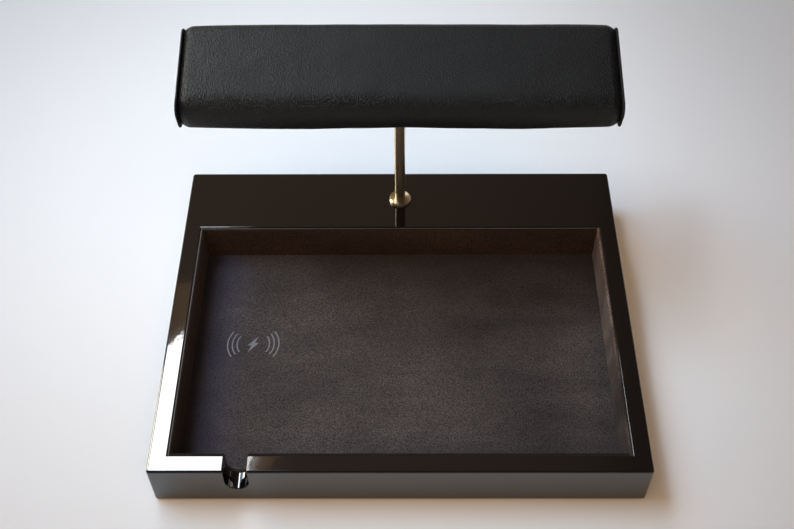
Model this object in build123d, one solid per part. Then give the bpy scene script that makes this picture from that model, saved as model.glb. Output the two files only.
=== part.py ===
"""Watch stand and valet tray with a wireless charger under its lined floor.

Millimetres, Z up. The origin is the middle of the base's footprint, at the surface it stands on.
The front, with the cable notch, faces -Y.
"""
import math
import os

from build123d import *

os.makedirs("parts", exist_ok=True)

# Lacquered carcass, read from the photograph with the width taken as 300
base_width = 300.0
base_depth = 242.0
carcass_height = 33.5
rail_thick = 11.5
ledge_depth = 52.0
ledge_thick = 9.0
divider_thick = 9.0
corner_radius = 2.0
top_edge_radius = 1.5
low_edge_radius = 0.8
opening_edge_radius = 0.8
overcut = 5.0

# Bottom board in its rebate, and the felt glued under it
board_thick = 4.0
rebate_wall = 6.0
felt_thick = 1.0
felt_inset = 8.0

# Cable notch in the front rail; its place is a share of the tray's half width
notch_x_share = 0.705
notch_width = 14.2
notch_depth = 20.4
notch_edge_radius = 0.7

# Suede-covered lining of the tray
lining_thick = 1.8
floor_lining_thick = 1.8
lining_drop = 0.6
lining_edge_radius = 0.5
mark_x_share = 0.711
mark_y_share = 0.083
mark_depth = 0.3
mark_line = 0.9
mark_bolt_height = 13.5
mark_bolt_width = 7.8
mark_tip_share = 0.85
mark_waist_share = 0.3
mark_shoulder_share = 0.16
mark_arc_radius = 10.9
mark_arc_step = 3.15
mark_arc_spread = 72.0
mark_arc_count = 3

# Dowels and screws of the carcass
dowel_diameter = 6.0
dowel_in_side = 8.0
dowel_in_end = 16.0
dowel_low = 14.0
dowel_high = 26.0
ledge_dowel_inset = 12.0
base_screw_diameter = 2.5
base_screw_length = 12.0
base_screw_head = 5.0
base_screw_head_height = 1.5
base_screw_x_share = 0.36
base_screw_y_share = 0.5

# Charging coil and its shield, in a pocket of the bottom board
pocket_radius = 24.5
pocket_depth = 2.8
shield_radius = 23.5
shield_thick = 1.0
coil_inner_radius = 10.0
coil_pitch = 1.0
coil_half_turns = 22
coil_wire_radius = 0.4
lead_spacing = 1.6
lead_lift = 0.85
lead_bend = 1.5
groove_margin = 0.7
groove_end_margin = 1.5

# Charger circuit board in the rear compartment
circuit_width = 30.0
circuit_thick = 1.6
circuit_back_gap = 0.3
spacer_height = 3.0
spacer_radius = 2.25
circuit_screw_radius = 1.0
circuit_screw_grip = 2.5
circuit_screw_head_radius = 1.9
circuit_screw_head_height = 1.3
circuit_screw_inset = 3.0
circuit_screw_rear_gap = 5.5
chip_size = 5.0
chip_height = 0.9
chip_y_share = 0.4
bridge_size = 3.0
bridge_height = 0.8
bridge_spacing = 6.5
bridge_y_share = 0.2
capacitor_length = 3.2
capacitor_width = 1.6
capacitor_spacing = 4.0
capacitor_y_share = 0.64

# Power inlet through the rear rail
inlet_skin = 3.0
inlet_pocket_width = 34.0
inlet_pocket_low = 1.5
inlet_pocket_height = 8.5
socket_width = 8.94
socket_height = 3.16
socket_length = 7.3
socket_wall = 0.3
socket_back = 1.0
socket_margin = 0.25
tongue_width = 6.6
tongue_thick = 0.7
tongue_gap = 0.8

# Post, collar and their fixings
post_diameter = 7.2
stud_diameter = 6.0
stud_hole = 6.4
stud_spare = 1.5
post_chamfer = 0.6
collar_diameter = 15.0
collar_height = 2.5
collar_chamfer = 0.8
nut_flats = 10.0
nut_height = 5.0
washer_diameter = 14.0
washer_thick = 1.2
spigot_diameter = 5.0
running_clearance = 0.05
end_play = 0.1

# Padded bar; its top leans 15 degrees towards the front
bar_length = 275.0
bar_depth = 68.0
bar_thick = 24.0
bar_corner = 8.0
bar_tilt = 15.0
bar_above_base = 115.7
leather_thick = 1.2
foam_thick = 3.5
panel_thick = 2.0
panel_edge_radius = 0.6
cover_hole = 8.2
bush_diameter = 12.0
bush_length = 8.0
bush_below_centre = 5.7
cap_screw_radius = 1.5
cap_screw_grip = 8.0
cap_screw_head_radius = 2.75
cap_screw_head_height = 1.7
cap_washer_radius = 4.5
cap_washer_thick = 0.8
pin_radius = 2.0
pin_in_panel = 1.2
pin_in_core = 6.0
pin_spacing_share = 0.53

# Places worked out from the sizes
half_width = base_width / 2
front_y = -base_depth / 2
back_y = base_depth / 2
low_z = felt_thick
top_z = felt_thick + carcass_height
board_top = low_z + board_thick
tray_half = half_width - rail_thick
tray_front = front_y + rail_thick
tray_back = back_y - ledge_depth
divider_back = tray_back + divider_thick
rear_inner = back_y - rail_thick
ledge_under = top_z - ledge_thick
lining_top = top_z - lining_drop
post_y = back_y - ledge_depth / 2
bar_z = top_z + bar_above_base
notch_x = -tray_half * notch_x_share
notch_radius = notch_width / 2
notch_round_z = top_z - notch_depth + notch_radius
mark_x = -tray_half * mark_x_share
mark_y = front_y * mark_y_share
base_screw_x = tray_half * base_screw_x_share
base_screw_y = back_y * base_screw_y_share
low_corner = (Align.MIN, Align.MIN, Align.MIN)
on_base = (Align.CENTER, Align.CENTER, Align.MIN)


def block(x_low, x_high, y_low, y_high, z_low, z_high):
    box = Box(x_high - x_low, y_high - y_low, z_high - z_low, align=low_corner)
    return Pos(x_low, y_low, z_low) * box


def rod(x, y, z_low, z_high, radius):
    return Pos(x, y, z_low) * Cylinder(radius, z_high - z_low, align=on_base)


def notch_cutter(y_low, y_high):
    slot = block(notch_x - notch_radius, notch_x + notch_radius, y_low, y_high, notch_round_z, top_z + overcut)
    round_end = Cylinder(notch_radius, y_high - y_low, align=on_base)
    return slot + Pos(notch_x, y_low, notch_round_z) * Rot(-90, 0, 0) * round_end


def group(pieces):
    return Compound(children=list(pieces))


nodes = {}

# Carcass as one block with its edges rounded, cut into its boards afterwards
carcass = block(-half_width, half_width, front_y, back_y, low_z, top_z)
carcass = fillet(carcass.edges().filter_by(Axis.Z), corner_radius)
carcass = fillet(carcass.faces().sort_by(Axis.Z)[-1].edges(), top_edge_radius)
carcass = fillet(carcass.faces().sort_by(Axis.Z)[0].edges(), low_edge_radius)
carcass -= block(-tray_half, tray_half, tray_front, tray_back, low_z - overcut, top_z + overcut)
carcass = fillet(carcass.faces().sort_by(Axis.Z)[-1].inner_wires()[0].edges(), opening_edge_radius)
carcass -= block(-tray_half, tray_half, divider_back, rear_inner, low_z - overcut, ledge_under)
carcass -= block(
    -half_width + rebate_wall,
    half_width - rebate_wall,
    front_y + rebate_wall,
    back_y - rebate_wall,
    low_z - overcut,
    board_top,
)
all_low = low_z - overcut
all_high = top_z + overcut
all_left = -half_width - overcut
all_right = half_width + overcut
all_front = front_y - overcut
all_back = back_y + overcut
left_rail = carcass & block(all_left, -tray_half, all_front, all_back, all_low, all_high)
right_rail = carcass & block(tray_half, all_right, all_front, all_back, all_low, all_high)
front_rail = carcass & block(-tray_half, tray_half, all_front, tray_front, all_low, all_high)
rear_rail = carcass & block(-tray_half, tray_half, rear_inner, all_back, all_low, all_high)
ledge_board = carcass & block(-tray_half, tray_half, tray_back, rear_inner, ledge_under, all_high)
tray_divider = block(-tray_half, tray_half, tray_back, divider_back, board_top, ledge_under)

# Cable notch, its edges eased all the way round
front_rail -= notch_cutter(front_y - overcut, tray_front + overcut)


def is_notch_edge(edge):
    middle = edge.center()
    near = abs(middle.X - notch_x) < notch_radius + notch_edge_radius
    below = middle.Z < top_z - top_edge_radius
    above = middle.Z > notch_round_z - notch_width
    on_face = abs(middle.Y - front_y) < notch_edge_radius
    return near and below and above and on_face


front_rail = fillet(front_rail.edges().filter_by(is_notch_edge), notch_edge_radius)

# Dowels of the four corners and of the ledge
dowel_radius = dowel_diameter / 2
dowel_length = dowel_in_side + dowel_in_end
front_rail_y = front_y + rail_thick / 2
rear_rail_y = back_y - rail_thick / 2
ledge_mid_z = ledge_under + ledge_thick / 2
dowel_places = [
    (front_rail_y, dowel_low),
    (front_rail_y, dowel_high),
    (rear_rail_y, dowel_low),
    (rear_rail_y, dowel_high),
    (tray_back + ledge_dowel_inset, ledge_mid_z),
    (rear_inner - ledge_dowel_inset, ledge_mid_z),
]
dowels = []
for y, z in dowel_places:
    stick = Rot(0, 90, 0) * Cylinder(dowel_radius, dowel_length, align=on_base)
    dowels.append(Pos(-tray_half - dowel_in_side, y, z) * stick)
    dowels.append(Pos(tray_half - dowel_in_end, y, z) * stick)
for dowel in dowels:
    left_rail -= dowel
    right_rail -= dowel
    front_rail -= dowel
    rear_rail -= dowel
    ledge_board -= dowel
nodes["corner_dowels"] = group(dowels)

# Bottom board with the coil pocket, the lead groove and its countersunk screws
bottom_board = block(
    -half_width + rebate_wall,
    half_width - rebate_wall,
    front_y + rebate_wall,
    back_y - rebate_wall,
    low_z,
    board_top,
)
pocket_floor = board_top - pocket_depth
coil_x = mark_x
coil_y = mark_y
bottom_board -= rod(coil_x, coil_y, pocket_floor, board_top + overcut, pocket_radius)
coil_outer_radius = coil_inner_radius + coil_half_turns * coil_pitch / 2
lead_x = coil_x + coil_outer_radius
circuit_x = lead_x + lead_spacing / 2
circuit_front = divider_back + circuit_back_gap + groove_end_margin
lead_rise_y = circuit_front + lead_bend
bottom_board -= block(
    lead_x - coil_wire_radius - groove_margin,
    lead_x + lead_spacing + coil_wire_radius + groove_margin,
    coil_y,
    lead_rise_y + coil_wire_radius + groove_margin,
    pocket_floor,
    board_top + overcut,
)
rail_screw_inset = (rebate_wall + rail_thick) / 2
screw_places = [
    (-base_screw_x, front_y + rail_screw_inset),
    (base_screw_x, front_y + rail_screw_inset),
    (-base_screw_x, back_y - rail_screw_inset),
    (base_screw_x, back_y - rail_screw_inset),
    (-half_width + rail_screw_inset, -base_screw_y),
    (-half_width + rail_screw_inset, base_screw_y),
    (half_width - rail_screw_inset, -base_screw_y),
    (half_width - rail_screw_inset, base_screw_y),
]
base_screws = []
for x, y in screw_places:
    head = Cone(base_screw_head / 2, base_screw_diameter / 2, base_screw_head_height, align=on_base)
    shank = Cylinder(base_screw_diameter / 2, base_screw_length, align=on_base)
    base_screws.append(Pos(x, y, low_z) * (head + shank))
for screw in base_screws:
    bottom_board -= screw
    left_rail -= screw
    right_rail -= screw
    front_rail -= screw
    rear_rail -= screw
nodes["base_screws"] = group(base_screws)

# Felt under the board
nodes["felt_base"] = block(
    -half_width + felt_inset,
    half_width - felt_inset,
    front_y + felt_inset,
    back_y - felt_inset,
    0,
    felt_thick,
)

# Shield and flat coil; the coil is half-turn arcs about two centres, run out to the circuit board
nodes["coil_shield"] = rod(coil_x, coil_y, pocket_floor, pocket_floor + shield_thick, shield_radius)
coil_z = pocket_floor + shield_thick + coil_wire_radius
circuit_low = board_top + spacer_height
arcs = []
arc_radius = coil_inner_radius
half_pitch = coil_pitch / 2
for half_turn in range(coil_half_turns):
    on_first_centre = half_turn % 2 == 0
    centre = (0, 0) if on_first_centre else (half_pitch, 0)
    start_angle = 0 if on_first_centre else 180
    arcs.append(CenterArc(centre, arc_radius, start_angle, 180))
    arc_radius += half_pitch
spiral = [Pos(coil_x, coil_y, coil_z) * arc for arc in arcs]


def rise(x, z, start_y):
    run = Line((x, start_y, z), (x, circuit_front, z))
    bend = TangentArc((x, circuit_front, z), (x, lead_rise_y, z + lead_bend), tangent=(0, 1, 0))
    up = Line((x, lead_rise_y, z + lead_bend), (x, lead_rise_y, circuit_low))
    return [run, bend, up]


def wire_solid(edges):
    path = Wire(edges)
    return sweep(Plane(origin=path @ 0, z_dir=path % 0) * Circle(coil_wire_radius), path=path)


nodes["charge_coil"] = wire_solid(spiral + rise(lead_x, coil_z, coil_y))

# Return lead, crossing over the turns from the coil's inner end
return_z = coil_z + lead_lift
return_x = lead_x + lead_spacing
turn_x = return_x - lead_bend
turn_y = coil_y + lead_bend
across = Line((coil_x + coil_inner_radius, coil_y, return_z), (turn_x, coil_y, return_z))
turn = TangentArc((turn_x, coil_y, return_z), (return_x, turn_y, return_z), tangent=(1, 0, 0))
nodes["coil_return_lead"] = wire_solid([across, turn] + rise(return_x, return_z, turn_y))

# Charger circuit board on four spacers, with its parts
circuit_back = back_y - inlet_skin - circuit_back_gap
circuit_top = circuit_low + circuit_thick
circuit_left = circuit_x - circuit_width / 2
circuit_right = circuit_x + circuit_width / 2
socket_mouth = back_y - inlet_skin
socket_end = socket_mouth - socket_length
circuit_run = socket_end - circuit_front
circuit = block(circuit_left, circuit_right, circuit_front, circuit_back, circuit_low, circuit_top)
spacers = []
circuit_screws = []
for x in (circuit_left + circuit_screw_inset, circuit_right - circuit_screw_inset):
    for y in (circuit_front + circuit_screw_inset, rear_inner - spacer_radius - circuit_screw_rear_gap):
        shank = rod(x, y, board_top - circuit_screw_grip, circuit_top, circuit_screw_radius)
        head = rod(x, y, circuit_top, circuit_top + circuit_screw_head_height, circuit_screw_head_radius)
        circuit_screws.append(shank + head)
        spacers.append(rod(x, y, board_top, circuit_low, spacer_radius) - shank)
for screw in circuit_screws:
    circuit -= screw
    bottom_board -= screw
nodes["charger_circuit"] = circuit
nodes["circuit_spacers"] = group(spacers)
nodes["circuit_screws"] = group(circuit_screws)
controller_y = circuit_front + circuit_run * chip_y_share
controller = Pos(circuit_x, controller_y, circuit_top) * Box(chip_size, chip_size, chip_height, align=on_base)
bridges = [
    Pos(circuit_x + side * bridge_spacing / 2, circuit_front + circuit_run * bridge_y_share, circuit_top)
    * Box(bridge_size, bridge_size, bridge_height, align=on_base)
    for side in (-1, 1)
]
nodes["charger_chips"] = group([controller] + bridges)
nodes["charger_capacitors"] = group(
    Pos(circuit_x + side * capacitor_spacing, circuit_front + circuit_run * capacitor_y_share, circuit_top)
    * Box(capacitor_width, capacitor_length, capacitor_width, align=on_base)
    for side in (-1, 0, 1)
)

# Power socket behind a thin skin of the rear rail
rear_rail -= block(
    circuit_x - inlet_pocket_width / 2,
    circuit_x + inlet_pocket_width / 2,
    rear_inner - overcut,
    back_y - inlet_skin,
    board_top + inlet_pocket_low,
    board_top + inlet_pocket_low + inlet_pocket_height,
)
socket_z = circuit_top + socket_height / 2


def socket_slab(margin, y_low, y_high):
    width = socket_width + margin * 2
    height = socket_height + margin * 2
    outline = Plane.XZ * SlotOverall(width, height)
    return Pos(circuit_x, y_high, socket_z) * extrude(outline, amount=y_high - y_low)


shell = socket_slab(0, socket_end, socket_mouth)
shell -= socket_slab(-socket_wall, socket_end + socket_back, socket_mouth + overcut)
nodes["socket_shell"] = shell
nodes["socket_tongue"] = block(
    circuit_x - tongue_width / 2,
    circuit_x + tongue_width / 2,
    socket_end + socket_back,
    socket_mouth - tongue_gap,
    socket_z - tongue_thick / 2,
    socket_z + tongue_thick / 2,
)
rear_rail -= socket_slab(socket_margin, socket_mouth - overcut, back_y + overcut)

# Lining: a floor and four walls of suede on card, with the charging sign pressed into the floor
lining_left = block(-tray_half, -tray_half + lining_thick, tray_front, tray_back, board_top, lining_top)
lining_right = block(tray_half - lining_thick, tray_half, tray_front, tray_back, board_top, lining_top)
wall_half = tray_half - lining_thick
lining_front = block(-wall_half, wall_half, tray_front, tray_front + lining_thick, board_top, lining_top)
lining_back = block(-wall_half, wall_half, tray_back - lining_thick, tray_back, board_top, lining_top)
floor_front = tray_front + lining_thick
floor_back = tray_back - lining_thick
floor_top = board_top + floor_lining_thick
lining_floor = block(-wall_half, wall_half, floor_front, floor_back, board_top, floor_top)


def ease_top(wall):
    long_edges = wall.faces().sort_by(Axis.Z)[-1].edges().sort_by(SortBy.LENGTH)[2:]
    return fillet(long_edges, lining_edge_radius)


lining_left = ease_top(lining_left)
lining_right = ease_top(lining_right)
lining_front = ease_top(lining_front)
lining_back = ease_top(lining_back)
lining_front -= notch_cutter(tray_front - overcut, tray_front + overcut)

bolt_high = mark_bolt_height / 2
bolt_wide = mark_bolt_width / 2
bolt_tip = bolt_wide * mark_tip_share
bolt_waist = bolt_wide * mark_waist_share
bolt_shoulder = bolt_high * mark_shoulder_share
bolt_points = [
    (bolt_tip, bolt_high),
    (-bolt_wide, -bolt_shoulder),
    (-bolt_waist, -bolt_shoulder),
    (-bolt_tip, -bolt_high),
    (bolt_wide, bolt_shoulder),
    (bolt_waist, bolt_shoulder),
]
sign = [make_face(Polyline(bolt_points, close=True))]
for side_angle in (0, 180):
    for index in range(mark_arc_count):
        middle_radius = mark_arc_radius + index * mark_arc_step
        ring = Circle(middle_radius + mark_line / 2) - Circle(middle_radius - mark_line / 2)
        half_spread = math.radians(mark_arc_spread / 2)
        reach = middle_radius * 2
        wedge = Polygon(
            (0, 0),
            (reach * math.cos(half_spread), -reach * math.sin(half_spread)),
            (reach * math.cos(half_spread), reach * math.sin(half_spread)),
            align=None,
        )
        sign.append(Rot(0, 0, side_angle) * (ring & wedge))
for outline in sign:
    cut = extrude(Pos(mark_x, mark_y, floor_top - mark_depth) * outline, amount=overcut)
    lining_floor -= cut

nodes["lining_floor"] = lining_floor
nodes["lining_front"] = lining_front
nodes["lining_back"] = lining_back
nodes["lining_left"] = lining_left
nodes["lining_right"] = lining_right

# Post with its collar, washer and nut
post_radius = post_diameter / 2
stud_low = ledge_under - washer_thick - nut_height - stud_spare
shoulder_z = bar_z - bush_below_centre
spigot_top = shoulder_z + bush_length + end_play
stud = rod(0, post_y, stud_low, top_z, stud_diameter / 2)
stud = chamfer(stud.faces().sort_by(Axis.Z)[0].edges(), post_chamfer)
post = stud + rod(0, post_y, top_z, shoulder_z, post_radius)
post += rod(0, post_y, shoulder_z, spigot_top, spigot_diameter / 2)
post -= rod(0, post_y, spigot_top - cap_screw_grip, spigot_top, cap_screw_radius)
nodes["post"] = post
collar = rod(0, post_y, top_z, top_z + collar_height, collar_diameter / 2)
collar = chamfer(collar.faces().sort_by(Axis.Z)[-1].edges(), collar_chamfer)
nodes["post_collar"] = collar - rod(0, post_y, top_z, top_z + collar_height, post_radius)
ledge_board -= rod(0, post_y, ledge_under, top_z, stud_hole / 2)
washer = rod(0, post_y, ledge_under - washer_thick, ledge_under, washer_diameter / 2)
nodes["post_washer"] = washer - rod(0, post_y, stud_low, top_z, stud_hole / 2)
nut_low = ledge_under - washer_thick - nut_height
nut_radius = nut_flats / math.sqrt(3)
nut = extrude(Pos(0, post_y, nut_low) * RegularPolygon(nut_radius, 6), amount=nut_height)
nodes["post_nut"] = nut - rod(0, post_y, nut_low, ledge_under, stud_diameter / 2)

nodes["front_rail"] = front_rail
nodes["left_rail"] = left_rail
nodes["right_rail"] = right_rail
nodes["rear_rail"] = rear_rail
nodes["ledge_board"] = ledge_board
nodes["tray_divider"] = tray_divider
nodes["bottom_board"] = bottom_board

# Retaining screw and washer on top of the post, inside the bar
cap_washer_top = spigot_top + cap_washer_thick
cap_washer = rod(0, post_y, spigot_top, cap_washer_top, cap_washer_radius)
nodes["cap_washer"] = cap_washer - rod(0, post_y, spigot_top, cap_washer_top, cap_screw_radius)
cap_shank = rod(0, post_y, spigot_top - cap_screw_grip, cap_washer_top, cap_screw_radius)
cap_head = rod(0, post_y, cap_washer_top, cap_washer_top + cap_screw_head_height, cap_screw_head_radius)
nodes["cap_screw"] = cap_shank + cap_head

# Bush that turns on the post's spigot
bush_low = shoulder_z + end_play / 2
bush_high = bush_low + bush_length - end_play / 2
bush = rod(0, post_y, bush_low, bush_high, bush_diameter / 2)
nodes["bar_bush"] = bush - rod(0, post_y, bush_low, bush_high, spigot_diameter / 2 + running_clearance)

# Padded bar: wooden core, foam, leather and two end panels
bar_place = Pos(0, post_y, bar_z) * Rot(bar_tilt, 0, 0)
body_half = bar_length / 2 - panel_thick


def bar_slab(inset, x_low, x_high):
    outline = Plane.YZ * RectangleRounded(bar_depth - inset * 2, bar_thick - inset * 2, bar_corner - inset)
    return Pos(x_low, 0, 0) * extrude(outline, amount=x_high - x_low)


core_inset = leather_thick + foam_thick
core = bar_slab(core_inset, -body_half, body_half)
foam = bar_slab(leather_thick, -body_half, body_half) - core
cover = bar_slab(0, -body_half, body_half) - bar_slab(leather_thick, -body_half, body_half)
left_panel = bar_slab(0, -body_half - panel_thick, -body_half)
right_panel = bar_slab(0, body_half, body_half + panel_thick)
left_panel = fillet(left_panel.faces().sort_by(Axis.X)[0].edges(), panel_edge_radius)
right_panel = fillet(right_panel.faces().sort_by(Axis.X)[-1].edges(), panel_edge_radius)
pins = []
pin_reach = bar_depth * pin_spacing_share / 2
for y in (-pin_reach, pin_reach):
    pin = Rot(0, 90, 0) * Cylinder(pin_radius, pin_in_panel + pin_in_core, align=on_base)
    pins.append(Pos(-body_half - pin_in_panel, y, 0) * pin)
    pins.append(Pos(body_half - pin_in_core, y, 0) * pin)
for pin in pins:
    core -= pin
    left_panel -= pin
    right_panel -= pin
core = bar_place * core
core -= rod(0, post_y, bar_z - bar_thick, bar_z + bar_thick, bush_diameter / 2)
post_way = rod(0, post_y, top_z, bar_z, cover_hole / 2)
nodes["bar_core"] = core
nodes["bar_foam"] = bar_place * foam - post_way
nodes["bar_cover"] = bar_place * cover - post_way
nodes["left_end_panel"] = bar_place * left_panel
nodes["right_end_panel"] = bar_place * right_panel
nodes["end_panel_pins"] = group(bar_place * pin for pin in pins)

for name, shape in nodes.items():
    export_step(shape, f"parts/{name}.step")
    solids = shape.solids()
    print(name, "solids", len(solids), "volume", round(sum(solid.volume for solid in solids), 1))
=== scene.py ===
"""Looks of the watch stand: lacquer, suede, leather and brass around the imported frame. Metres, Z up."""
import math

import bmesh
import bpy
from mathutils import Matrix, Vector, noise


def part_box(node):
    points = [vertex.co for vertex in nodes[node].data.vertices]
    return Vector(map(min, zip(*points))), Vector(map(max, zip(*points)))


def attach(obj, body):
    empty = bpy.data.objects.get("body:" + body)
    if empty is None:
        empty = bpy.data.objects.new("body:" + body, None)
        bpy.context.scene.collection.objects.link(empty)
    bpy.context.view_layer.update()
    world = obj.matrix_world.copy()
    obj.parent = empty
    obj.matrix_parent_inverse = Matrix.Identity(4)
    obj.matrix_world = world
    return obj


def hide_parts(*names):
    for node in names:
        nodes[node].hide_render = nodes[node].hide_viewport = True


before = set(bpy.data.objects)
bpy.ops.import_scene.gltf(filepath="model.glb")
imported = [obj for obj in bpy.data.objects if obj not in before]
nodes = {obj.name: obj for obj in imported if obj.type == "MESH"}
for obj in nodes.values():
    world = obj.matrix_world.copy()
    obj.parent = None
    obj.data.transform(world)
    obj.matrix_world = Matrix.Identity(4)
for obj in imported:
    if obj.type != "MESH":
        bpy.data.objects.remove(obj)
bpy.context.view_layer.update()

MM = 0.001

# The bar's section and lean, as the CAD has them
BAR_DEPTH = 68.0 * MM
BAR_THICK = 24.0 * MM
BAR_CORNER = 8.0 * MM
BAR_LEAN = math.radians(15.0)
PANEL_THICK = 2.0 * MM

# Places read from the frame
cover_low, cover_high = (Vector(corner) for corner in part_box("bar_cover"))
collar_low, collar_high = (Vector(corner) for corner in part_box("post_collar"))
floor_top = Vector(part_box("lining_floor")[1]).z
wall_low, wall_high = (Vector(corner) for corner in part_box("lining_left"))
lining_back_y = Vector(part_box("lining_back")[1]).y
POST_Y = (collar_low.y + collar_high.y) / 2
BAR_Z = (cover_low.z + cover_high.z) / 2
BODY_HALF = (cover_high.x - cover_low.x) / 2
BAR_PLACE = Matrix.Translation((0, POST_Y, BAR_Z)) @ Matrix.Rotation(BAR_LEAN, 4, "X")


# Materials

SHADER_SOCKETS = {
    "color": "Base Color",
    "roughness": "Roughness",
    "metallic": "Metallic",
    "normal": "Normal",
    "coat": "Coat Weight",
    "coat_roughness": "Coat Roughness",
    "sheen": "Sheen Weight",
    "sheen_roughness": "Sheen Roughness",
    "sheen_tint": "Sheen Tint",
    "ior": "IOR",
    "specular": "Specular IOR Level",
    "anisotropic": "Anisotropic",
    "anisotropic_turn": "Anisotropic Rotation",
}


class Nodes:
    """A short way to write a node tree. Scales are per metre, bump distances in metres."""

    def __init__(self, name):
        self.material = bpy.data.materials.new(name)
        self.material.use_nodes = True
        self.tree = self.material.node_tree
        self.shader = self.tree.nodes["Principled BSDF"]
        coordinates = self.tree.nodes.new("ShaderNodeTexCoord")
        self.place = coordinates.outputs["Object"]

    def add(self, kind, inputs=None, **settings):
        node = self.tree.nodes.new(kind)
        for key, value in settings.items():
            setattr(node, key, value)
        for key, value in (inputs or {}).items():
            self.feed(node.inputs[key], value)
        return node

    def feed(self, socket, value):
        if isinstance(value, bpy.types.NodeSocket):
            self.tree.links.new(value, socket)
        else:
            socket.default_value = value

    def axes(self):
        """The x, y and z of a point."""
        return self.add("ShaderNodeSeparateXYZ", {"Vector": self.place}).outputs

    def scaled(self, scale):
        return self.add("ShaderNodeMapping", {"Vector": self.place, "Scale": scale}).outputs["Vector"]

    def noise(self, scale, detail=4.0, roughness=0.55, vector=None, distortion=0.0):
        node = self.add(
            "ShaderNodeTexNoise",
            {
                "Vector": vector or self.place,
                "Scale": scale,
                "Detail": detail,
                "Roughness": roughness,
                "Distortion": distortion,
            },
        )
        return node.outputs["Fac"]

    def warped(self, scale, reach):
        """The place of a point, moved about by a small reach."""
        inputs = {"Vector": self.place, "Scale": scale, "Detail": 1.0}
        wander = self.add("ShaderNodeTexNoise", inputs).outputs["Color"]
        shift = self.add("ShaderNodeVectorMath", {0: wander, "Scale": reach}, operation="SCALE")
        moved = self.add("ShaderNodeVectorMath", {0: self.place, 1: shift.outputs[0]}, operation="ADD")
        return moved.outputs[0]

    def cells(self, scale, vector=None, feature="F1", smooth=None):
        inputs = {"Vector": vector or self.place, "Scale": scale}
        node = self.add("ShaderNodeTexVoronoi", inputs, feature=feature)
        if smooth is not None:
            node.inputs["Smoothness"].default_value = smooth
        return node.outputs["Distance"]

    def spread(self, value, low, high, to_low=0.0, to_high=1.0, smooth=False):
        node = self.add(
            "ShaderNodeMapRange",
            {"Value": value, "From Min": low, "From Max": high, "To Min": to_low, "To Max": to_high},
            interpolation_type="SMOOTHSTEP" if smooth else "LINEAR",
        )
        return node.outputs["Result"]

    def math(self, operation, a, b=0.0):
        node = self.add("ShaderNodeMath", operation=operation)
        self.feed(node.inputs[0], a)
        self.feed(node.inputs[1], b)
        return node.outputs[0]

    def weigh(self, first, first_weight, second, second_weight):
        """The sum of two values, each times its weight."""
        first_part = self.math("MULTIPLY", first, first_weight)
        return self.math("ADD", first_part, self.math("MULTIPLY", second, second_weight))

    def mix(self, factor, a, b):
        node = self.add("ShaderNodeMix", data_type="RGBA")
        self.feed(node.inputs[0], factor)
        self.feed(node.inputs[6], a if isinstance(a, bpy.types.NodeSocket) else (*a, 1.0))
        self.feed(node.inputs[7], b if isinstance(b, bpy.types.NodeSocket) else (*b, 1.0))
        return node.outputs[2]

    def bump(self, height, strength, distance, normal=None):
        inputs = {"Height": height, "Strength": strength, "Distance": distance}
        if normal is not None:
            inputs["Normal"] = normal
        return self.add("ShaderNodeBump", inputs).outputs["Normal"]

    def set(self, **values):
        for key, value in values.items():
            if isinstance(value, tuple) and len(value) == 3:
                value = (*value, 1.0)
            self.feed(self.shader.inputs[SHADER_SOCKETS[key]], value)
        return self.material


def lacquer():
    """Deep black gloss with a little dust, faint smears and a slight ripple."""
    n = Nodes("black_lacquer_gloss")
    tone = n.mix(n.noise(9.0, 3.0), (0.0030, 0.0024, 0.0020), (0.0048, 0.0040, 0.0034))
    dust = n.spread(n.noise(900.0, 2.0, 0.7), 0.70, 0.84)
    color = n.mix(n.math("MULTIPLY", dust, 0.10), tone, (0.05, 0.048, 0.045))
    smear = n.spread(n.noise(26.0, 5.0, 0.6, distortion=0.6), 0.35, 0.75, 0.028, 0.060)
    ripple = n.bump(n.noise(130.0, 2.0, 0.5), 0.05, 0.4 * MM)
    return n.set(color=color, roughness=smear, normal=ripple, ior=1.8)


def suede(name, dark, pale, sheen, pale_span, marks_and_painted_light):
    """Brushed nap: soft streaks and clouds between two tones, under a fine salt-and-pepper grain.

    The tone turns paler towards one side; on the floor and the loose right lining this is painted light
    falloff. The span gives the axis, two places on it and the share of pale tone at each. The marks
    function adds what only that part of the lining shows, painted light among it.
    """
    n = Nodes(name)
    streak = n.noise(1.0, 5.0, 0.62, vector=n.scaled((11.0, 46.0, 46.0)), distortion=0.35)
    cloud = n.noise(13.0, 3.0, 0.5, distortion=0.5)
    speck = n.noise(1500.0, 1.0, 0.8)
    clump = n.noise(800.0, 2.0, 0.75)
    axes = n.axes()
    axis, start, end, start_share, end_share = pale_span
    # Painted light falloff on the floor and the loose right lining: the tone turns paler towards one
    # side.
    paler_side = n.spread(axes[axis], start, end, start_share, end_share, smooth=True)
    nap_and_side_tone = n.math("ADD", n.weigh(streak, 0.32, cloud, 0.32), n.math("MULTIPLY", paler_side, 0.36))
    color = n.mix(n.spread(nap_and_side_tone, 0.34, 0.66), dark, pale)
    grain = n.weigh(speck, 0.78, clump, 0.22)
    shade = tuple(value * 0.30 for value in dark)
    color = n.mix(n.spread(grain, 0.41, 0.59, 0.0, 0.85), color, shade)
    color, nap_and_side_tone = marks_and_painted_light(n, axes, color, nap_and_side_tone, dark)
    fuzz = n.bump(grain, 0.55, 0.6 * MM)
    fuzz = n.bump(nap_and_side_tone, 0.25, 2.0 * MM, normal=fuzz)
    return n.set(
        color=color,
        roughness=0.95,
        normal=fuzz,
        sheen=sheen,
        sheen_roughness=0.45,
        sheen_tint=(0.80, 0.76, 0.78),
        specular=0.15,
    )


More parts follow.
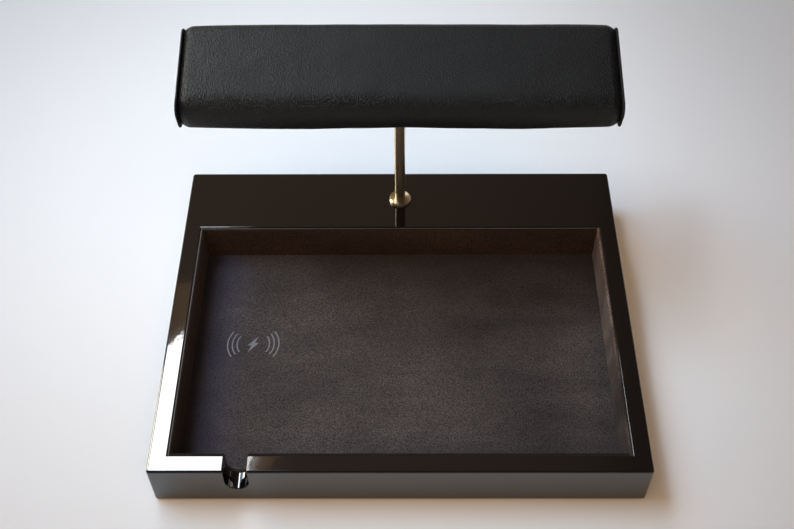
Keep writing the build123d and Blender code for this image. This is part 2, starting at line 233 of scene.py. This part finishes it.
# Painted light on the floor: the start and end of the painted shade along the left wall, the painted
# shadow at the back and the painted cool reflection on the left
LEFT_PAINTED_SHADE = (-137.0 * MM, -108.0 * MM)
BACK_PAINTED_SHADOW = (5.0 * MM, 62.0 * MM)
LEFT_PAINTED_REFLECTION = (-120.0 * MM, -98.0 * MM)

# How far below the floor's top the pressed sign's tone begins, and where it is full
SIGN_TONE_START = 0.14 * MM
SIGN_TONE_FULL = 0.22 * MM


def floor_painted_light_and_sign(n, axes, color, nap_and_side_tone, _dark):
    """Painted shade along the left wall, a painted shadow towards the back and a painted cool reflection
    on the left. The sign is paler.
    """
    x, y, z = axes
    pressed = n.spread(z, floor_top - SIGN_TONE_FULL, floor_top - SIGN_TONE_START, 1.0, 0.0)
    # Painted shade, painted shadow and a painted cool reflection on the floor.
    color = n.mix(n.spread(x, *LEFT_PAINTED_SHADE, 0.75, 0.0, smooth=True), color, (0.012, 0.012, 0.015))
    color = n.mix(n.spread(y, *BACK_PAINTED_SHADOW, 0.0, 0.42, smooth=True), color, (0.013, 0.0095, 0.009))
    color = n.mix(n.spread(x, *LEFT_PAINTED_REFLECTION, 0.22, 0.0, smooth=True), color, (0.030, 0.035, 0.085))
    return n.mix(pressed, color, (0.205, 0.208, 0.225)), nap_and_side_tone


def loose_folds_and_shade(n, _axes, color, nap_and_side_tone, dark):
    """The right lining hangs a little loose, in shallow upright folds, with painted shade in darker
    streaks along them.
    """
    fold = n.noise(1.0, 2.0, 0.5, vector=n.scaled((1.0, 55.0, 14.0)), distortion=0.8)
    # Painted shade: darker streaks that follow the folds.
    fold_painted_shade = tuple(value * 0.7 for value in dark)
    color = n.mix(n.spread(fold, 0.42, 0.62, 0.0, 0.55), color, fold_painted_shade)
    return color, n.math("ADD", nap_and_side_tone, n.math("MULTIPLY", fold, 1.5))


# How far from the boards' top, and from their outer side, the dark top edge and the painted highlight
# line begin and are full
EDGE_START = 0.30 * MM
EDGE_FULL = 0.10 * MM
HIGHLIGHT_LINE_START = 0.9 * MM
HIGHLIGHT_LINE_FULL = 0.5 * MM


def board_edge_highlight(n, axes, color, nap_and_side_tone, _dark):
    """The top edge is dark, with a painted highlight line along the lacquer except at the front."""
    x, y, z = axes
    top = n.spread(z, wall_high.z - EDGE_START, wall_high.z - EDGE_FULL)
    color = n.mix(top, color, (0.012, 0.009, 0.008))
    # Painted highlight: a pale line along the top, beside the lacquer at the side and back.
    beside = n.spread(n.math("ABSOLUTE", x), -wall_low.x - HIGHLIGHT_LINE_START, -wall_low.x - HIGHLIGHT_LINE_FULL)
    behind = n.spread(y, lining_back_y - HIGHLIGHT_LINE_START, lining_back_y - HIGHLIGHT_LINE_FULL)
    line = n.math("MULTIPLY", n.math("MAXIMUM", beside, behind), top)
    return n.mix(n.math("MULTIPLY", line, 0.9), color, (0.150, 0.132, 0.122)), nap_and_side_tone


def leather(name, tone_low, tone_high, roughness):
    """Black hide with a fine pebble: raised cells between dark, duller valleys."""
    n = Nodes(name)
    pebble = n.cells(980.0, vector=n.warped(500.0, 0.5 * MM), feature="SMOOTH_F1", smooth=0.2)
    fine = n.noise(2400.0, 2.0, 0.6)
    patch = n.noise(55.0, 3.0, 0.55)
    crown = n.spread(pebble, 0.12, 0.60, 1.0, 0.0, smooth=True)
    worn_tone = (tone_high, tone_high * 0.95, tone_high * 0.92)
    tone = n.mix(n.spread(patch, 0.3, 0.7), (tone_low,) * 3, worn_tone)
    color = n.mix(n.spread(crown, 0.0, 0.5, 0.8, 0.0), tone, (0.0025, 0.0022, 0.0020))
    worn = n.weigh(crown, 0.6, patch, 0.4)
    rough = n.spread(worn, 0.2, 0.9, roughness + 0.10, roughness - 0.08)
    normal = n.bump(crown, 0.9, 0.28 * MM)
    normal = n.bump(fine, 0.14, 0.10 * MM, normal=normal)
    normal = n.bump(n.noise(34.0, 3.0, 0.5), 0.10, 1.2 * MM, normal=normal)
    return n.set(color=color, roughness=rough, normal=normal, specular=0.47)


def brass(name, roughness, stretch, pull):
    """Turned brass: fine rings around the axis pull the shine out across them."""
    n = Nodes(name)
    rings = n.noise(1.0, 3.0, 0.6, vector=n.scaled(stretch))
    age = n.noise(70.0, 4.0, 0.6)
    color = n.mix(n.spread(age, 0.3, 0.7), (0.66, 0.50, 0.31), (0.78, 0.62, 0.42))
    rough = n.spread(rings, 0.3, 0.7, roughness * 0.97, roughness * 1.03)
    return n.set(
        color=color,
        metallic=1.0,
        roughness=rough,
        normal=n.bump(rings, 0.02, 0.02 * MM),
        anisotropic=pull,
        anisotropic_turn=0.25,
    )


def metal(name, color, roughness):
    """Plain metal with faint stains."""
    n = Nodes(name)
    stain = n.noise(300.0, 4.0, 0.6)
    darker = tuple(value * 0.8 for value in color)
    rough = n.spread(stain, 0.3, 0.7, roughness * 0.8, roughness * 1.3)
    normal = n.bump(stain, 0.1, 0.05 * MM)
    return n.set(color=n.mix(stain, darker, color), metallic=1.0, roughness=rough, normal=normal)


def fibre(name, color, stretch):
    """Wood or fibreboard, with its grain drawn out by the stretch."""
    n = Nodes(name)
    grain = n.noise(1.0, 6.0, 0.65, vector=n.scaled(stretch), distortion=0.4)
    darker = tuple(value * 0.62 for value in color)
    normal = n.bump(grain, 0.3, 0.2 * MM)
    return n.set(color=n.mix(n.spread(grain, 0.3, 0.7), darker, color), roughness=0.75, normal=normal)


def felt():
    """Black felt in fine tufts."""
    n = Nodes("felt_black")
    tuft = n.noise(1200.0, 4.0, 0.75)
    color = n.mix(n.spread(tuft, 0.35, 0.7), (0.010, 0.010, 0.010), (0.045, 0.044, 0.043))
    normal = n.bump(tuft, 0.7, 0.6 * MM)
    return n.set(color=color, roughness=0.97, normal=normal, sheen=0.3, sheen_roughness=0.6)


def plastic(name, color, roughness):
    """Moulded plastic with a fine texture and a slightly uneven colour."""
    n = Nodes(name)
    grain = n.noise(1500.0, 2.0, 0.5)
    darker = tuple(value * 0.75 for value in color)
    patch = n.mix(n.noise(120.0, 3.0), darker, color)
    return n.set(color=patch, roughness=roughness, normal=n.bump(grain, 0.12, 0.06 * MM))


def circuit():
    """Green mask over copper tracks."""
    n = Nodes("circuit_green_mask")
    tracks = n.cells(330.0, feature="DISTANCE_TO_EDGE")
    copper = n.spread(tracks, 0.04, 0.07, 1.0, 0.0)
    color = n.mix(n.math("MULTIPLY", copper, 0.5), (0.008, 0.070, 0.028), (0.030, 0.160, 0.060))
    normal = n.bump(copper, 0.2, 0.03 * MM)
    return n.set(color=color, roughness=0.35, normal=normal, coat=0.3, coat_roughness=0.2)


def foam():
    """Cream foam with open cells."""
    n = Nodes("foam_cream")
    holes = n.cells(1300.0)
    color = n.mix(n.spread(holes, 0.1, 0.6), (0.80, 0.76, 0.62), (0.52, 0.48, 0.36))
    return n.set(color=color, roughness=0.95, normal=n.bump(holes, 0.8, 0.5 * MM))


# How the tone turns paler to one side: axis, start, end, and the share of pale tone at each. On the floor
# (paler to the left) and on the loose right lining (paler to the back) it is painted light falloff.
X_AXIS = 0
Y_AXIS = 1
FLOOR_PAINTED_FALLOFF = (X_AXIS, -90.0 * MM, 120.0 * MM, 0.70, 0.30)
WALL_TONE_SPAN = (Y_AXIS, -100.0 * MM, 50.0 * MM, 0.30, 0.70)
LOOSE_PAINTED_FALLOFF = (Y_AXIS, -80.0 * MM, 30.0 * MM, 0.10, 1.0)

FLOOR_DARK = (0.030, 0.0235, 0.0225)
FLOOR_PALE = (0.128, 0.106, 0.101)
WALL_DARK = (0.033, 0.0205, 0.016)
WALL_PALE = (0.086, 0.055, 0.044)
# Painted light: the loose right lining's tones are a much brighter copy of the wall suede's, for the
# light that falls on that wall.
LOOSE_PAINTED_LIT_DARK = (0.040, 0.026, 0.021)
LOOSE_PAINTED_LIT_PALE = (0.340, 0.235, 0.185)
BOARD = (0.42, 0.29, 0.18)
BEECH = (0.60, 0.44, 0.27)

LACQUER = lacquer()
FLOOR_SUEDE = suede("suede_floor", FLOOR_DARK, FLOOR_PALE, 0.22, FLOOR_PAINTED_FALLOFF, floor_painted_light_and_sign)
WALL_SUEDE = suede("suede_wall", WALL_DARK, WALL_PALE, 0.05, WALL_TONE_SPAN, board_edge_highlight)
LOOSE_WALL_SUEDE_PAINTED_LIT = suede("suede_wall_loose_painted_lit", LOOSE_PAINTED_LIT_DARK, LOOSE_PAINTED_LIT_PALE, 0.05, LOOSE_PAINTED_FALLOFF, loose_folds_and_shade)
STEEL = metal("zinc_steel", (0.62, 0.62, 0.60), 0.32)
BLACK_CHIP = plastic("chip_black_resin", (0.02, 0.02, 0.022), 0.5)
COPPER = metal("copper_enamel", (0.78, 0.36, 0.16), 0.24)
LEATHER = leather("leather_black_pebble", 0.0032, 0.0055, 0.42)
LEATHER_END = leather("leather_black_end", 0.0025, 0.0040, 0.60)

finishes = {
    LACQUER: ("front_rail", "left_rail", "right_rail", "rear_rail", "ledge_board"),
    FLOOR_SUEDE: ("lining_floor",),
    WALL_SUEDE: ("lining_front", "lining_back", "lining_left"),
    LOOSE_WALL_SUEDE_PAINTED_LIT: ("lining_right",),
    felt(): ("felt_base",),
    brass("brass_turned_post", 0.22, (60.0, 60.0, 900.0), 1.0): ("post",),
    brass("brass_turned_collar", 0.34, (300.0, 300.0, 2600.0), 0.8): ("post_collar", "bar_bush"),
    STEEL: (
        "base_screws",
        "circuit_screws",
        "cap_screw",
        "cap_washer",
        "post_washer",
        "post_nut",
        "socket_shell",
    ),
    fibre("fibreboard", BOARD, (260.0, 260.0, 900.0)): ("tray_divider", "bottom_board", "bar_core"),
    fibre("beech", BEECH, (40.0, 700.0, 700.0)): ("corner_dowels", "end_panel_pins"),
    COPPER: ("charge_coil", "coil_return_lead"),
    plastic("ferrite_grey", (0.07, 0.07, 0.075), 0.8): ("coil_shield",),
    circuit(): ("charger_circuit",),
    BLACK_CHIP: ("charger_chips", "socket_tongue"),
    plastic("capacitor_tan", (0.45, 0.30, 0.16), 0.5): ("charger_capacitors",),
    plastic("nylon_white", (0.80, 0.79, 0.75), 0.5): ("circuit_spacers",),
    foam(): ("bar_foam",),
    LEATHER: ("bar_cover",),
    LEATHER_END: ("left_end_panel", "right_end_panel"),
}
for material, names in finishes.items():
    for name in names:
        for slot in nodes[name].material_slots:
            slot.material = material


# Padded bar: how finely its meshes are divided
CORNER_STEPS = 14
FLAT_STEPS = 30
EDGE_STEPS = 10
BODY_STEPS = 150
SHOULDER_STEPS = 14
ROLL_STEPS = 6
DRILL_SIDES = 64

# The cushion's upper front edge is rounder than the end caps' corners
FRONT_ROUND = 15.5 * MM

# The crown on top, highest left of the middle, and the padding's rise across the bar
CROWN_LIFT = 0.10 * MM
CROWN_PEAK = 0.55 * MM
CROWN_X = -25.0 * MM
CROWN_REACH = 85.0 * MM
ACROSS_PEAK = 0.45 * MM

# The front and the underside swell on both sides of the post and are drawn in at it
LEFT_SWELL_X = -62.0 * MM
LEFT_SWELL_REACH = 36.0 * MM
RIGHT_SWELL_X = 68.0 * MM
RIGHT_SWELL_REACH = 40.0 * MM
SWELL_SHARE = 0.85
WAIST_SHARE = 0.25
WAIST_REACH = 22.0 * MM
FRONT_SWELL = 0.6 * MM
LOW_SWELL = 0.8 * MM

# Unevenness, with its scales per metre
WAVER = 0.22 * MM
WAVER_SCALES = (38, 60, 60)
RIPPLE = 0.06 * MM
RIPPLE_SCALES = (150, 35, 90)
RIPPLE_START = 7

# Towards the ends the padding is drawn in, and the section nears the end caps' own
END_PULL = 0.75 * MM
END_REACH = 11.0 * MM
SOFT_SHARE = 0.45
SOFT_REACH = 5.0 * MM

# Shoulders, where the cover turns in to the end caps
SHOULDER = 5.5 * MM
SHOULDER_DROP = 2.4 * MM
SHOULDER_POWER = 1.6

# The underside, where the normal's z is below this, has a sewn seam and a dimple round the post
UNDERSIDE_NORMAL = -0.99
SEAM_Y = 12.0 * MM
SEAM_DEPTH = 0.55 * MM
SEAM_WIDTH = 0.9 * MM
DIMPLE_Y = -3.2 * MM
DIMPLE_DEPTH = 1.1 * MM
DIMPLE_REACH = 9.0 * MM
POST_HOLE = 4.1 * MM
POST_HOLE_DEPTH = 5.0 * MM
DRILL_LENGTH = 30.0 * MM

# End caps
CAP_THICK = 1.25 * MM
CAP_GAP = 0.1 * MM
CAP_INSET = 0.45 * MM
CAP_ROLL = 0.50 * MM
CAP_WAVER = 0.10 * MM
CAP_WAVER_SCALE = 120
CAP_WAVER_START = 3
CAP_PILLOW = 0.30 * MM
CAP_SHORT_SHARE = 0.06

# Each end is closed by smaller copies of its rim, with these shares of its size
CUSHION_FACE_SHARES = (0.8, 0.5, 0.2)
CAP_BACK_SHARES = (0.6,)
CAP_FACE_SHARES = (0.97, 0.92, 0.84, 0.72, 0.55, 0.35, 0.15)


def section(front_round):
    """Points of the rounded section with their outward normals, from the back over the top."""
    half_y = BAR_DEPTH / 2
    half_z = BAR_THICK / 2
    corners = (
        (1, 1, 0, BAR_CORNER),
        (-1, 1, 90, front_round),
        (-1, -1, 180, BAR_CORNER),
        (1, -1, 270, BAR_CORNER),
    )
    points = []
    for index, (side_y, side_z, start, radius) in enumerate(corners):
        centre = Vector((0, side_y * (half_y - radius), side_z * (half_z - radius)))
        for step in range(CORNER_STEPS + 1):
            angle = math.radians(start + 90 * step / CORNER_STEPS)
            normal = Vector((0, math.cos(angle), math.sin(angle)))
            points.append((centre + normal * radius, normal))
        next_side_y, next_side_z, _, next_radius = corners[(index + 1) % len(corners)]
        next_y = next_side_y * (half_y - next_radius)
        next_z = next_side_z * (half_z - next_radius)
        first = centre + normal * radius
        last = Vector((0, next_y, next_z)) + normal * next_radius
        steps = FLAT_STEPS if index % 2 == 0 else EDGE_STEPS
        for step in range(1, steps):
            points.append((first.lerp(last, step / steps), normal))
    return points


PANEL_SECTION = section(BAR_CORNER)
SOFT_SECTION = section(FRONT_ROUND)


def hump(value, centre, reach):
    """A smooth hill of height 1 at its centre."""
    return math.exp(-(((value - centre) / reach) ** 2))


def unevenness(x, point, scales, start=0):
    """Smooth noise at a point of the section, at a place along the bar."""
    return noise.noise(Vector((x * scales[0], point.y * scales[1], point.z * scales[2] + start)))


def fullness(x, point, normal):
    """How far the padding stands out from the plain section, in metres."""
    ends = 1 - math.exp(-(BODY_HALF - abs(x)) / END_REACH)
    top = max(normal.z, 0.0)
    low = max(-normal.z, 0.0)
    front = max(-normal.y, 0.0)
    across = max(0.0, 1 - (point.y / (BAR_DEPTH / 2)) ** 2)
    rise = top * (CROWN_PEAK * hump(x, CROWN_X, CROWN_REACH) + CROWN_LIFT)
    rise += top * ACROSS_PEAK * across
    swells = hump(x, LEFT_SWELL_X, LEFT_SWELL_REACH) + hump(x, RIGHT_SWELL_X, RIGHT_SWELL_REACH)
    sides = SWELL_SHARE * swells - WAIST_SHARE * hump(x, 0.0, WAIST_REACH)
    rise += (front * FRONT_SWELL + low * LOW_SWELL) * sides
    waver = unevenness(x, point, WAVER_SCALES) * WAVER
    ripple = unevenness(x, point, RIPPLE_SCALES, RIPPLE_START) * RIPPLE
    return (rise + waver + ripple) * ends - END_PULL * (1 - ends)


def ring_stations():
    """Places along the bar, close together at the shoulders, with how far each draws in."""
    half = BODY_HALF + PANEL_THICK - CAP_THICK - CAP_GAP
    shoulder = []
    for step in range(SHOULDER_STEPS + 1):
        share = step / SHOULDER_STEPS
        shoulder.append((-half + SHOULDER * share, SHOULDER_DROP * (1 - share) ** SHOULDER_POWER))
    middle = []
    for step in range(1, BODY_STEPS):
        middle.append((-half + SHOULDER + (half - SHOULDER) * 2 * step / BODY_STEPS, 0.0))
    mirrored = [(-x, inset) for x, inset in shoulder]
    return shoulder + middle + mirrored[::-1]


def close_rings(mesh, rings):
    """Joins each ring to the next with a band of faces."""
    count = len(rings[0])
    for first, second in zip(rings, rings[1:]):
        for index in range(count):
            after = (index + 1) % count
            mesh.faces.new((first[index], first[after], second[after], second[index]))


def cap_ring(mesh, ring, centre, rows):
    """Closes a ring with smaller copies of it that end in a fan."""
    rings = [ring]
    for share, rise in rows:
        rings.append([mesh.verts.new(centre + (vert.co - centre) * share + rise) for vert in ring])
    close_rings(mesh, rings)
    last = rings[-1]
    count = len(last)
    tip = mesh.verts.new(sum((vert.co for vert in last), Vector()) / count)
    for index in range(count):
        mesh.faces.new((last[index], last[(index + 1) % count], tip))


def mesh_object(name, mesh, material):
    """A smooth-shaded object from a mesh drawn along the bar, put in the bar's place."""
    bmesh.ops.recalc_face_normals(mesh, faces=mesh.faces)
    data = bpy.data.meshes.new(name)
    mesh.to_mesh(data)
    mesh.free()
    data.transform(BAR_PLACE)
    data.materials.append(material)
    for polygon in data.polygons:
        polygon.use_smooth = True
    thing = bpy.data.objects.new(name, data)
    bpy.context.scene.collection.objects.link(thing)
    return thing


def cushion():
    """The padded body: rings along the bar that draw in at the ends, with a seam and a dimple below."""
    mesh = bmesh.new()
    rings = []
    for x, inset in ring_stations():
        ring = []
        soft = 1 - SOFT_SHARE * math.exp(-(BODY_HALF - abs(x)) / SOFT_REACH)
        for (soft_point, normal), (panel_point, _) in zip(SOFT_SECTION, PANEL_SECTION):
            point = panel_point.lerp(soft_point, soft)
            stand = fullness(x, point, normal) - inset
            if normal.z < UNDERSIDE_NORMAL:
                around = math.hypot(x, point.y - DIMPLE_Y)
                stand -= SEAM_DEPTH * hump(point.y, SEAM_Y, SEAM_WIDTH)
                stand -= DIMPLE_DEPTH * hump(around, 0.0, DIMPLE_REACH)
            ring.append(mesh.verts.new(Vector((x, 0, 0)) + point + normal * stand))
        rings.append(ring)
    close_rings(mesh, rings)
    rows = [(share, Vector()) for share in CUSHION_FACE_SHARES]
    for ring in (rings[0], rings[-1]):
        cap_ring(mesh, ring, Vector((ring[0].co.x, 0, 0)), rows)
    return mesh_object("bar_cushion", mesh, LEATHER)


def end_cap(name, side):
    """A leather-wrapped panel with a rolled rim and a slightly pillowed face."""
    mesh = bmesh.new()
    start = BODY_HALF + PANEL_THICK - CAP_THICK
    rings = []

    def ring_at(x, inset):
        ring = []
        for point, normal in PANEL_SECTION:
            across = side * CAP_WAVER_START + point.y * CAP_WAVER_SCALE
            waver = noise.noise(Vector((across, point.z * CAP_WAVER_SCALE, 1))) * CAP_WAVER
            shrink = 1 - CAP_SHORT_SHARE * max(point.y, 0.0) / (BAR_DEPTH / 2)
            place = Vector((side * x, point.y * shrink, point.z))
            ring.append(mesh.verts.new(place - normal * (inset + waver)))
        rings.append(ring)

    outer = start + CAP_THICK - CAP_ROLL
    for step in range(ROLL_STEPS + 1):
        angle = math.radians(90 * step / ROLL_STEPS)
        ring_at(start + CAP_ROLL * (1 - math.cos(angle)), CAP_INSET + CAP_ROLL * (1 - math.sin(angle)))
    for step in range(1, ROLL_STEPS + 1):
        angle = math.radians(90 * step / ROLL_STEPS)
        ring_at(outer + CAP_ROLL * math.sin(angle), CAP_INSET + CAP_ROLL * (1 - math.cos(angle)))
    close_rings(mesh, rings)
    back_rows = [(share, Vector()) for share in CAP_BACK_SHARES]
    cap_ring(mesh, rings[0], Vector((side * start, 0, 0)), back_rows)
    face_rows = []
    for share in CAP_FACE_SHARES:
        face_rows.append((share, Vector((side * CAP_PILLOW * (1 - share) ** 0.5, 0, 0))))
    cap_ring(mesh, rings[-1], Vector((side * (start + CAP_THICK), 0, 0)), face_rows)
    return mesh_object(name, mesh, LEATHER_END)


def drill_for_post(thing):
    """Cuts the round hole through which the post goes up into the bar."""
    hole_top = BAR_Z - BAR_THICK / 2 + POST_HOLE_DEPTH
    bpy.ops.mesh.primitive_cylinder_add(
        vertices=DRILL_SIDES,
        radius=POST_HOLE,
        depth=DRILL_LENGTH,
        location=(0, POST_Y, hole_top - DRILL_LENGTH / 2),
    )
    drill = bpy.context.active_object
    cut = thing.modifiers.new("hole", "BOOLEAN")
    cut.operation = "DIFFERENCE"
    cut.solver = "EXACT"
    cut.object = drill
    bpy.context.view_layer.objects.active = thing
    bpy.ops.object.modifier_apply(modifier=cut.name)
    bpy.data.objects.remove(drill, do_unlink=True)


bar_cushion = cushion()
drill_for_post(bar_cushion)
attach(bar_cushion, "bar")
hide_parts("bar_cover", "bar_foam")
end_caps = (("left_end_cap", "left_end_panel", -1), ("right_end_cap", "right_end_panel", 1))
for cap_name, panel, side in end_caps:
    cap = end_cap(cap_name, side)
    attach(cap, "bar")
    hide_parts(panel)


# Table and room

BACKDROP = (0.70, 0.69, 0.68)
TABLE_SIZE = 12.0
TABLE_DROP = 0.2 * MM
PAINTED_POOL_CENTRE = (-0.03, 0.12, 0.0)

# The start and end of each soft change of the table: a painted pool of light round the object, painted
# shade to the right, and the haze into the glowing backdrop
PAINTED_POOL_RADIUS = (0.08, 0.46)
RIGHT_PAINTED_SHADE = (0.08, 0.34)
HAZE_RADIUS = (0.53, 1.0)


def table_top():
    """A pale table with a painted pool of light around the object and painted shade on the right, that
    fades into a glowing backdrop.
    """
    n = Nodes("table_pale")
    ends = {0: n.place, 1: PAINTED_POOL_CENTRE}
    # Painted light: palest in a pool round the object, with painted shade dimming it towards the right.
    beside = n.add("ShaderNodeVectorMath", ends, operation="DISTANCE").outputs["Value"]
    edge = n.spread(beside, *PAINTED_POOL_RADIUS, smooth=True)
    color = n.mix(edge, (0.91, 0.905, 0.905), (0.62, 0.615, 0.615))
    dim = n.spread(n.axes()["X"], *RIGHT_PAINTED_SHADE, 0.0, 0.24, smooth=True)
    color = n.mix(dim, color, (0.30, 0.30, 0.33))
    away = n.add("ShaderNodeVectorMath", {0: n.place}, operation="LENGTH").outputs["Value"]
    haze = n.spread(away, *HAZE_RADIUS, smooth=True)
    n.feed(n.shader.inputs["Emission Color"], (*BACKDROP, 1.0))
    n.feed(n.shader.inputs["Emission Strength"], haze)
    color = n.mix(haze, color, (0.0, 0.0, 0.0))
    material = n.set(color=color, roughness=0.9, specular=0.0)
    bpy.ops.mesh.primitive_plane_add(size=TABLE_SIZE, location=(0, 0, -TABLE_DROP))
    table = bpy.context.active_object
    table.name = "table_top"
    table.data.materials.append(material)


def world_light():
    """A dim warm room, lighter on the left and behind, above a pale band all round the horizon."""
    world = bpy.data.worlds.new("room")
    bpy.context.scene.world = world
    world.use_nodes = True
    tree = world.node_tree
    split = tree.nodes.new("ShaderNodeSeparateXYZ")
    tree.links.new(tree.nodes.new("ShaderNodeTexCoord").outputs["Generated"], split.inputs[0])

    def blend(axis, low, high, first, second):
        reach = tree.nodes.new("ShaderNodeMapRange")
        reach.interpolation_type = "SMOOTHSTEP"
        reach.inputs["From Min"].default_value = low
        reach.inputs["From Max"].default_value = high
        tree.links.new(split.outputs[axis], reach.inputs["Value"])
        mixer = tree.nodes.new("ShaderNodeMix")
        mixer.data_type = "RGBA"
        tree.links.new(reach.outputs["Result"], mixer.inputs[0])
        for socket, value in ((mixer.inputs[6], first), (mixer.inputs[7], second)):
            if isinstance(value, tuple):
                socket.default_value = (*value, 1.0)
            else:
                tree.links.new(value, socket)
        return mixer.outputs[2]

    room = blend("X", -0.15, 0.40, (0.215, 0.155, 0.113), (0.085, 0.058, 0.045))
    room = blend("X", 0.15, 0.22, room, (0.070, 0.048, 0.038))
    room = blend("Y", -0.45, 0.0, (0.045, 0.032, 0.025), room)
    sky = blend("Z", 0.08, 0.26, BACKDROP, room)
    tree.links.new(sky, tree.nodes["Background"].inputs["Color"])


# Lamps

WARM = (1.0, 0.56, 0.27)
CARD_LIGHT = (1.0, 0.89, 0.68)
BASE_MIDDLE = (0.0, 0.0, 0.0)
UNDER_POST = (0.0, 0.10, 0.0)
NARROW = 60.0


def area_light(name, centre, size, radiance, color, aim=None, turn=0.0):
    """An area light of a given radiance: a rectangle aimed at a point, or an ellipse that faces down."""
    data = bpy.data.lights.new(name, "AREA")
    data.shape = "RECTANGLE" if aim is not None else "ELLIPSE"
    data.size, data.size_y = size
    area = size[0] * size[1] * (1.0 if aim is not None else math.pi / 4)
    data.energy = radiance * math.pi * area
    data.color = color
    lamp = bpy.data.objects.new(name, data)
    bpy.context.scene.collection.objects.link(lamp)
    lamp.location = centre
    lamp.rotation_euler = (0, 0, math.radians(turn))
    if aim is not None:
        lamp.rotation_euler = (Vector(aim) - Vector(centre)).to_track_quat("-Z", "Y").to_euler()
    lamp.visible_camera = False
    return lamp


def soft_light(name, centre, size, radiance, color, aim, spread=180.0):
    """An aimed area light that gloss doesn't mirror."""
    lamp = area_light(name, centre, size, radiance, color, aim=aim)
    lamp.data.spread = math.radians(spread)
    lamp.visible_glossy = False


table_top()
world_light()
area_light("window", (-0.387, 0.604, 1.235), (0.228, 0.48), 15.0, (0.95, 0.98, 1.0))
area_light("curtain_far", (-0.43, 0.88, 1.30), (0.34, 0.26), 0.34, WARM)
area_light("curtain_side", (-0.255, 0.62, 1.30), (0.07, 0.34), 0.34, WARM, turn=-28)
area_light("skylight", (-1.12, 0.62, 1.90), (1.10, 1.60), 2.8, (0.36, 0.68, 1.0), aim=(-0.1, 0.05, 0))
soft_light("sky_back", (-0.70, 0.62, 1.30), (0.6, 0.6), 0.42, (0.25, 0.57, 1.0), UNDER_POST, NARROW)
soft_light("sky_top", (-0.72, 0.05, 1.35), (0.5, 0.5), 0.66, (0.80, 0.92, 1.0), UNDER_POST, NARROW)
soft_light("sky_left", (-1.05, 0.35, 1.25), (0.6, 0.6), 0.24, (0.88, 0.95, 1.0), UNDER_POST, NARROW)
soft_light("sky_front", (-0.55, 0.10, 1.35), (0.5, 0.2), 1.05, (0.70, 0.88, 1.0), UNDER_POST, NARROW)
soft_light("side_window", (-1.50, -0.35, 0.95), (1.4, 1.0), 0.36, (1.0, 0.68, 0.31), (0, 0, 0.05))
card = area_light("left_card", (-0.95, 0.30, 0.20), (0.36, 1.20), 14.0, CARD_LIGHT, aim=(0, 0.30, 0.10))
card.visible_diffuse = False
soft_light("warm_room", (-0.10, -0.85, 1.50), (2.0, 1.6), 1.45, (1.0, 0.66, 0.39), BASE_MIDDLE)
soft_light("right_room", (1.30, 0.0, 0.55), (1.4, 0.9), 0.16, (1.0, 0.69, 0.41), BASE_MIDDLE)
soft_light("back_room", (0.0, 1.50, 0.90), (2.2, 0.9), 0.20, (1.0, 0.94, 0.70), BASE_MIDDLE)


# Camera

LENS = 50.14
SENSOR_WIDTH = 36.0
CAMERA_PLACE = (0.0020, -0.43304, 0.61762)
CAMERA_PITCH = math.radians(51.190)
CAMERA_YAW = math.radians(0.4957)
CAMERA_ROLL = math.radians(-0.4607)
CLIP = (0.01, 50.0)


def camera():
    """The photograph's viewpoint: pitched down, then turned and rolled by less than a degree."""
    data = bpy.data.cameras.new("camera")
    data.lens = LENS
    data.sensor_width = SENSOR_WIDTH
    data.clip_start, data.clip_end = CLIP
    view = bpy.data.objects.new("camera", data)
    bpy.context.scene.collection.objects.link(view)
    right = Vector((1, 0, 0))
    ahead = Vector((0, math.cos(CAMERA_PITCH), -math.sin(CAMERA_PITCH)))
    up = Vector((0, math.sin(CAMERA_PITCH), math.cos(CAMERA_PITCH)))
    turn = Matrix.Rotation(CAMERA_YAW, 3, "Z")
    right, ahead, up = turn @ right, turn @ ahead, turn @ up
    rolled_right = right * math.cos(CAMERA_ROLL) + up * math.sin(CAMERA_ROLL)
    rolled_up = up * math.cos(CAMERA_ROLL) - right * math.sin(CAMERA_ROLL)
    axes = Matrix((rolled_right, rolled_up, -ahead)).transposed()
    view.matrix_world = Matrix.Translation(CAMERA_PLACE) @ axes.to_4x4()
    bpy.context.scene.camera = view


camera()
bpy.context.scene.view_settings.view_transform = "Standard"
